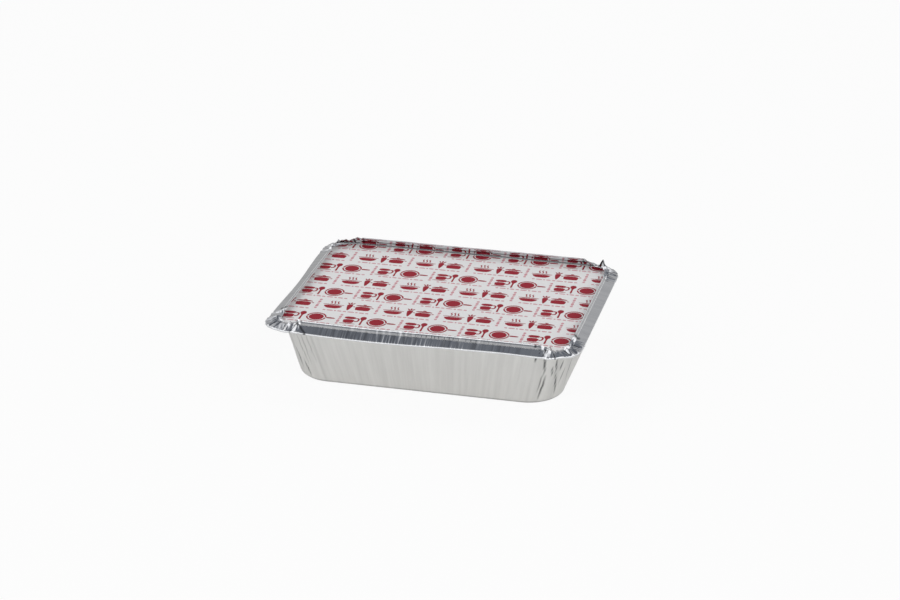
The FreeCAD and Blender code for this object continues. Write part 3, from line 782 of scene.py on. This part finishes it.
def rounded(corners, rounds=1):
    # Closed outline with its corners cut at a quarter and three quarters of each side
    points = np.array(corners, float)
    for _ in range(rounds):
        after = np.roll(points, -1, axis=0)
        points = np.stack([0.75 * points + 0.25 * after, 0.25 * points + 0.75 * after], axis=1)
        points = points.reshape(-1, 2)
    return points


def bar(left, low, right, high):
    return rounded(((left, low), (right, low), (right, high), (left, high)))


def mirrored(half):
    # Outline from its left half, closed by the same half turned over
    return rounded(half + tuple((-x, y) for x, y in half[::-1]))


def arcBand(inner, outer, first, last, count=14):
    # Ring segment between two radii and two angles in degrees
    turn = np.radians(np.linspace(first, last, count))
    ring = np.stack([np.cos(turn), np.sin(turn)], axis=1)
    return np.concatenate([ring * outer, ring[::-1] * inner])


def wave(x, low, high, width, swing):
    # Upright wavy stroke
    y = np.linspace(low, high, 9)
    middle = x + swing * np.sin((y - low) / (high - low) * 2 * pi)
    left = np.stack([middle - width / 2, y], axis=1)
    right = np.stack([middle + width / 2, y], axis=1)
    return np.concatenate([right, left[::-1]])


motifs = {
    "mug": [
        bar(-4.1, 1.5, 3.1, 5.0),
        rounded(((-4.1, 0.8), (-4.0, -3.0), (-3.0, -4.6), (2.0, -4.6), (3.0, -3.0), (3.1, 0.8))),
        rounded(((3.3, 3.6), (4.9, 3.6), (6.0, 2.6), (6.0, -0.9), (4.9, -2.2), (3.2, -2.4),
                 (3.2, -1.3), (4.4, -1.1), (4.9, -0.6), (4.9, 2.0), (4.4, 2.5), (3.3, 2.5))),
        rounded(((-5.6, -6.0), (4.8, -6.0), (4.3, -5.2), (-5.1, -5.2))),
    ],
    "spoon": [
        rounded(((-0.7, -6.4), (0.7, -6.4), (0.5, -2), (0.6, 1.4), (1.9, 2.8), (2.0, 5.2),
                 (0.9, 6.6), (-0.9, 6.6), (-2.0, 5.2), (-1.9, 2.8), (-0.6, 1.4), (-0.5, -2)), 2),
    ],
    "pan": [
        arcBand(5.5, 6.5, 4, 176), arcBand(5.5, 6.5, 184, 356),
        rounded([(4.9 * cos(a), 4.9 * sin(a)) for a in np.arange(12) * pi / 6], 1),
        rounded(((6.6, -0.6), (7.4, -0.9), (11.2, -0.8), (12.4, -0.3), (12.4, 0.3), (11.2, 0.8),
                 (7.4, 0.9), (6.6, 0.6))),
    ],
    "bowl": [
        bar(-6.9, 0.0, 6.9, 0.9),
        mirrored(((-6.2, -0.6), (-5.6, -3.0), (-3.6, -4.8), (-2.2, -5.2))),
    ],
    "steam": [wave(-2.2, 1.9, 6.0, 0.8, 0.45), wave(0.0, 1.9, 6.4, 0.8, 0.45),
              wave(2.2, 1.9, 6.0, 0.8, 0.45)],
    "carrot": [
        rounded(((0, -6.4), (0.7, -5.2), (1.6, -1.0), (2.0, 2.0), (1.0, 3.2), (-1.0, 3.2),
                 (-2.0, 2.0), (-1.6, -1.0), (-0.7, -5.2))),
        rounded(((-0.3, 3.5), (0.3, 3.5), (0.7, 5.4), (0, 6.8), (-0.7, 5.4))),
        rounded(((0.5, 3.5), (0.9, 3.3), (2.2, 4.4), (2.5, 5.9), (1.2, 5.2))),
        rounded(((-0.5, 3.5), (-1.2, 5.2), (-2.5, 5.9), (-2.2, 4.4), (-0.9, 3.3))),
    ],
    "pot": [
        mirrored(((-5.0, 1.2), (-4.8, -3.4), (-4.0, -4.8))),
        rounded(((-5.6, 1.8), (5.6, 1.8), (5.0, 2.9), (2.4, 3.6), (-2.4, 3.6), (-5.0, 2.9))),
        bar(-1.1, 3.9, 1.1, 4.9), bar(-6.8, 0.6, -5.3, -0.3), bar(5.3, 0.6, 6.8, -0.3),
    ],
}
upperGroup = (("mug", -15.0), ("spoon", -6.2), ("pan", 4.6))
lowerGroup = (("bowl", -11.5), ("steam", -11.5), ("carrot", 0.4), ("pot", 10.6))


def clipped(points):
    # The part of an outline inside the printed area, cut by one straight edge at a time: the
    # area is a rectangle with rounded corners, taken as its tangents at even steps
    centreX = printing["halfX"] - printing["cornerRadius"]
    centreY = printing["halfY"] - printing["cornerRadius"]
    for turn in np.radians(np.arange(0, 360, printing["tangentStep"])):
        normal = np.array([cos(turn), sin(turn)])
        limit = centreX * abs(normal[0]) + centreY * abs(normal[1]) + printing["cornerRadius"]
        over = points @ normal - limit
        if np.all(over < 0):
            continue
        if np.all(over >= 0):
            return None
        after, overAfter = np.roll(points, -1, axis=0), np.roll(over, -1)
        crossing = (over < 0) != (overAfter < 0)
        part = np.where(crossing, over / np.where(crossing, over - overAfter, 1), 0)[:, None]
        pairs = np.stack([points, points + (after - points) * part], axis=1)
        wanted = np.stack([over < 0, crossing], axis=1)
        points = pairs[wanted]
    return points


def buildPrint(name, outlines, material, node):
    # Each outline becomes a flat prism of ink on the lid
    verts, faces = [], []
    for points in outlines:
        points = clipped(points)
        if points is None or len(points) < 3:
            continue
        after = np.roll(points, -1, axis=0)
        if np.sum(points[:, 0] * after[:, 1] - after[:, 0] * points[:, 1]) < 0:
            points = points[::-1]
        first, count = len(verts), len(points)
        low = np.column_stack([points, np.full(count, printing["lidTop"])])
        high = low + [0, 0, printing["ink"]]
        verts += (np.concatenate([low, high]) * mm).tolist()
        n = np.arange(count)
        m = (n + 1) % count
        faces.append((first + count + n).tolist())
        faces.append((first + n[::-1]).tolist())
        faces += (first + np.stack([n, m, count + m, count + n], axis=1)).tolist()
    piece = makeObject(name, verts, faces, [material])
    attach(piece, "root")
    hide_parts(node)
    print(name, "built, faces", len(faces))


def printGroups():
    # Middle of each group, row by row; every second row is set half a pitch aside
    groups = []
    for row in range(printing["rows"]):
        aside = (row + 1) % 2
        y = printing["middle"][1] + (row - (printing["rows"] - 1) / 2) * printing["rowPitch"]
        for column in range(printing["columns"] + aside):
            across = column - (printing["columns"] - 1 + aside) / 2
            groups.append((printing["middle"][0] + across * printing["cellPitch"], y, aside))
    return groups


def redOutlines():
    outlines, scale = [], printing["motifScale"]
    for x, y, aside in printGroups():
        for motif, place in lowerGroup if aside else upperGroup:
            outlines += [scale * points + [x + place, y] for points in motifs[motif]]
    return outlines


def paleOutlines():
    # Each rule is a line of dashes of uneven length, and so is the upright one beside its group
    outlines = []
    length, count = printing["ruleLength"], printing["standingDashes"]
    dashes = np.array(printing["dashes"])
    gap = (length - dashes.sum()) / (dashes.size - 1)
    starts = np.concatenate([[0], np.cumsum(dashes + gap)[:-1]]) - length / 2
    half, wide = printing["ruleWidth"] / 2, printing["standingWidth"] / 2
    standing = dashes[:count] * printing["standingLength"]
    standing = standing / (dashes[:count].sum() + (count - 1) * gap)
    for x, y, aside in printGroups():
        for start, dash in zip(starts, dashes):
            outlines.append(bar(start, -half, start + dash, half) + [x, y - printing["ruleDrop"]])
        low = y - printing["standingLength"] / 2
        for dash in standing:
            outlines.append(bar(-wide, 0, wide, dash) + [x + printing["standingPlace"], low])
            low += dash + gap
    return outlines


buildPrint("redPrint", redOutlines(), redInk, "print_red")
buildPrint("palePrint", paleOutlines(), paleInk, "print_pale")
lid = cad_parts["card_lid"]
for materialSlot in lid.material_slots:
    materialSlot.material = whiteBoard


# Floor, backdrop and lamps

studio = {
    "floorSize": 6.0,
    "floorColour": "#F2F2F0",
    "seenWhite": 0.90,  # share of plain white in what the camera sees of the floor
    "mirroredWhite": 0.15,  # and in what the metal mirrors of it
    # The sky by the sine of the height: level and colour of the light
    "sky": ((0.0, 0.44, "#FFFFFF"), (0.25, 0.42, "#FFFFFF"), (0.55, 0.47, "#FBFCFF"),
            (0.80, 0.26, "#F2F7FF"), (0.94, 0.20, "#EAF1FF"), (1.0, 0.14, "#EAF1FF")),
    "boxLevel": 0.80, "boxSide": (0.26, 0.70), "boxLow": (0.08, 0.25), "boxHigh": (0.88, 1.0),
    "boxBack": (0.35, 0.78),
    "frontLevel": 2.0, "frontSide": (0.30, 0.70), "frontHigh": (0.04, 0.28),
    # Name, power in watts, and size and place in metres
    "lamps": (("keyLamp", 7.5, 0.9, (-0.9, -1.6, 1.3)), ("fillLamp", 5.0, 0.9, (1.5, -0.9, 1.5)),
              ("rearLamp", 4.0, 0.9, (-0.3, 1.2, 1.9))),
}


def buildFloor():
    # A matt pale floor that keeps the shadow; the camera sees it near white, and the metal
    # mirrors it a little lighter than it is lit
    half = studio["floorSize"] / 2
    corners = [(-half, -half, 0), (half, -half, 0), (half, half, 0), (-half, half, 0)]
    material, tree = newMaterial("pale studio floor")
    path = addNode(tree, "LightPath")
    seen = addNode(tree, "Math", operation="MAXIMUM",
                   links={0: (path, "Is Camera Ray"), 1: (path, "Is Transmission Ray")})
    weight = addNode(tree, "Math", {1: studio["seenWhite"]}, {0: (seen, "Value")},
                     operation="MULTIPLY")
    mirrored = addNode(tree, "Math", {1: studio["mirroredWhite"]},
                       {0: (path, "Is Glossy Ray"), 2: (weight, "Value")}, operation="MULTIPLY_ADD")
    matt = addNode(tree, "BsdfDiffuse", {"Color": linearColour(studio["floorColour"])})
    white = addNode(tree, "Emission", {"Strength": 1.0})
    mixed = addNode(tree, "MixShader",
                    links={0: (mirrored, "Value"), 1: (matt, "BSDF"), 2: (white, "Emission")})
    addNode(tree, "OutputMaterial", links={"Surface": (mixed, "Shader")})
    floor = makeObject("studioFloor", corners, [(0, 1, 2, 3)], [material])


def buildBackdrop():
    # White to the camera. To the metal and the lid it is a room: pale at the horizon, dark
    # overhead, with a wide softbox on the right, one on the left that fades towards the back,
    # and a low one in front. Each softbox is a product of soft edges along X, Y and Z
    world = bpy.data.worlds.new("studio")
    world.use_nodes = True
    tree = world.node_tree
    tree.nodes.clear()
    path = addNode(tree, "LightPath")
    place = addNode(tree, "TexCoord")
    parts = addNode(tree, "SeparateXYZ", links={"Vector": (place, "Generated")})
    ramp = addNode(tree, "ValToRGB", links={"Fac": (parts, "Z")})
    elements = ramp.color_ramp.elements
    for _ in studio["sky"][2:]:
        elements.new(0.5)
    for element, (position, level, tint) in zip(elements, studio["sky"]):
        element.position = position
        element.color = (*(level * channel for channel in linearColour(tint)[:3]), 1)

    def edge(source, output, limits, levels=(0.0, 1.0)):
        return addNode(tree, "MapRange", {"From Min": limits[0], "From Max": limits[1],
                       "To Min": levels[0], "To Max": levels[1]}, {"Value": (source, output)},
                       interpolation_type="SMOOTHSTEP")

    near, far = studio["boxSide"]
    right = edge(parts, "X", (near, far))
    left = edge(parts, "X", (-near, -far))
    behind = edge(parts, "Y", studio["boxBack"], (1.0, 0.0))
    side = addNode(tree, "Math", operation="MULTIPLY_ADD",
                   links={0: (left, "Result"), 1: (behind, "Result"), 2: (right, "Result")})
    low = edge(parts, "Z", studio["boxLow"])
    high = edge(parts, "Z", studio["boxHigh"], (studio["boxLevel"], 0.0))
    band = addNode(tree, "Math", operation="MULTIPLY",
                   links={0: (side, "Value"), 1: (low, "Result")})
    box = addNode(tree, "Math", operation="MULTIPLY",
                  links={0: (band, "Value"), 1: (high, "Result")})
    towards = addNode(tree, "Math", {1: -1.0}, {0: (parts, "Y")}, operation="MULTIPLY")
    front = edge(towards, "Value", studio["frontSide"])
    under = edge(parts, "Z", studio["frontHigh"], (studio["frontLevel"], 0.0))
    box = addNode(tree, "Math", operation="MULTIPLY_ADD",
                  links={0: (front, "Result"), 1: (under, "Result"), 2: (box, "Value")})
    sky = addNode(tree, "Background", {"Strength": 1.0}, {"Color": (ramp, "Color")})
    boxes = addNode(tree, "Background", {"Color": (1, 1, 1, 1)}, {"Strength": (box, "Value")})
    room = addNode(tree, "AddShader",
                   links={0: (sky, "Background"), 1: (boxes, "Background")})
    white = addNode(tree, "Background", {"Strength": 1.0, "Color": (1, 1, 1, 1)})
    mixed = addNode(tree, "MixShader", links={0: (path, "Is Camera Ray"),
                    1: (room, "Shader"), 2: (white, "Background")})
    addNode(tree, "OutputWorld", links={"Surface": (mixed, "Shader")})
    bpy.context.scene.world = world


def addLamp(name, power, size, place):
    data = bpy.data.lights.new(name, "AREA")
    data.energy = power
    data.shape = "DISK"
    data.size = size
    lamp = linked(name, data)
    lamp.location = place
    lamp.visible_glossy = False      # the metal mirrors the room's softboxes instead
    lamp.rotation_euler = (-Vector(place)).to_track_quat("-Z", "Y").to_euler()


buildFloor()
buildBackdrop()
for lamp in studio["lamps"]:
    addLamp(*lamp)
print("studio built")
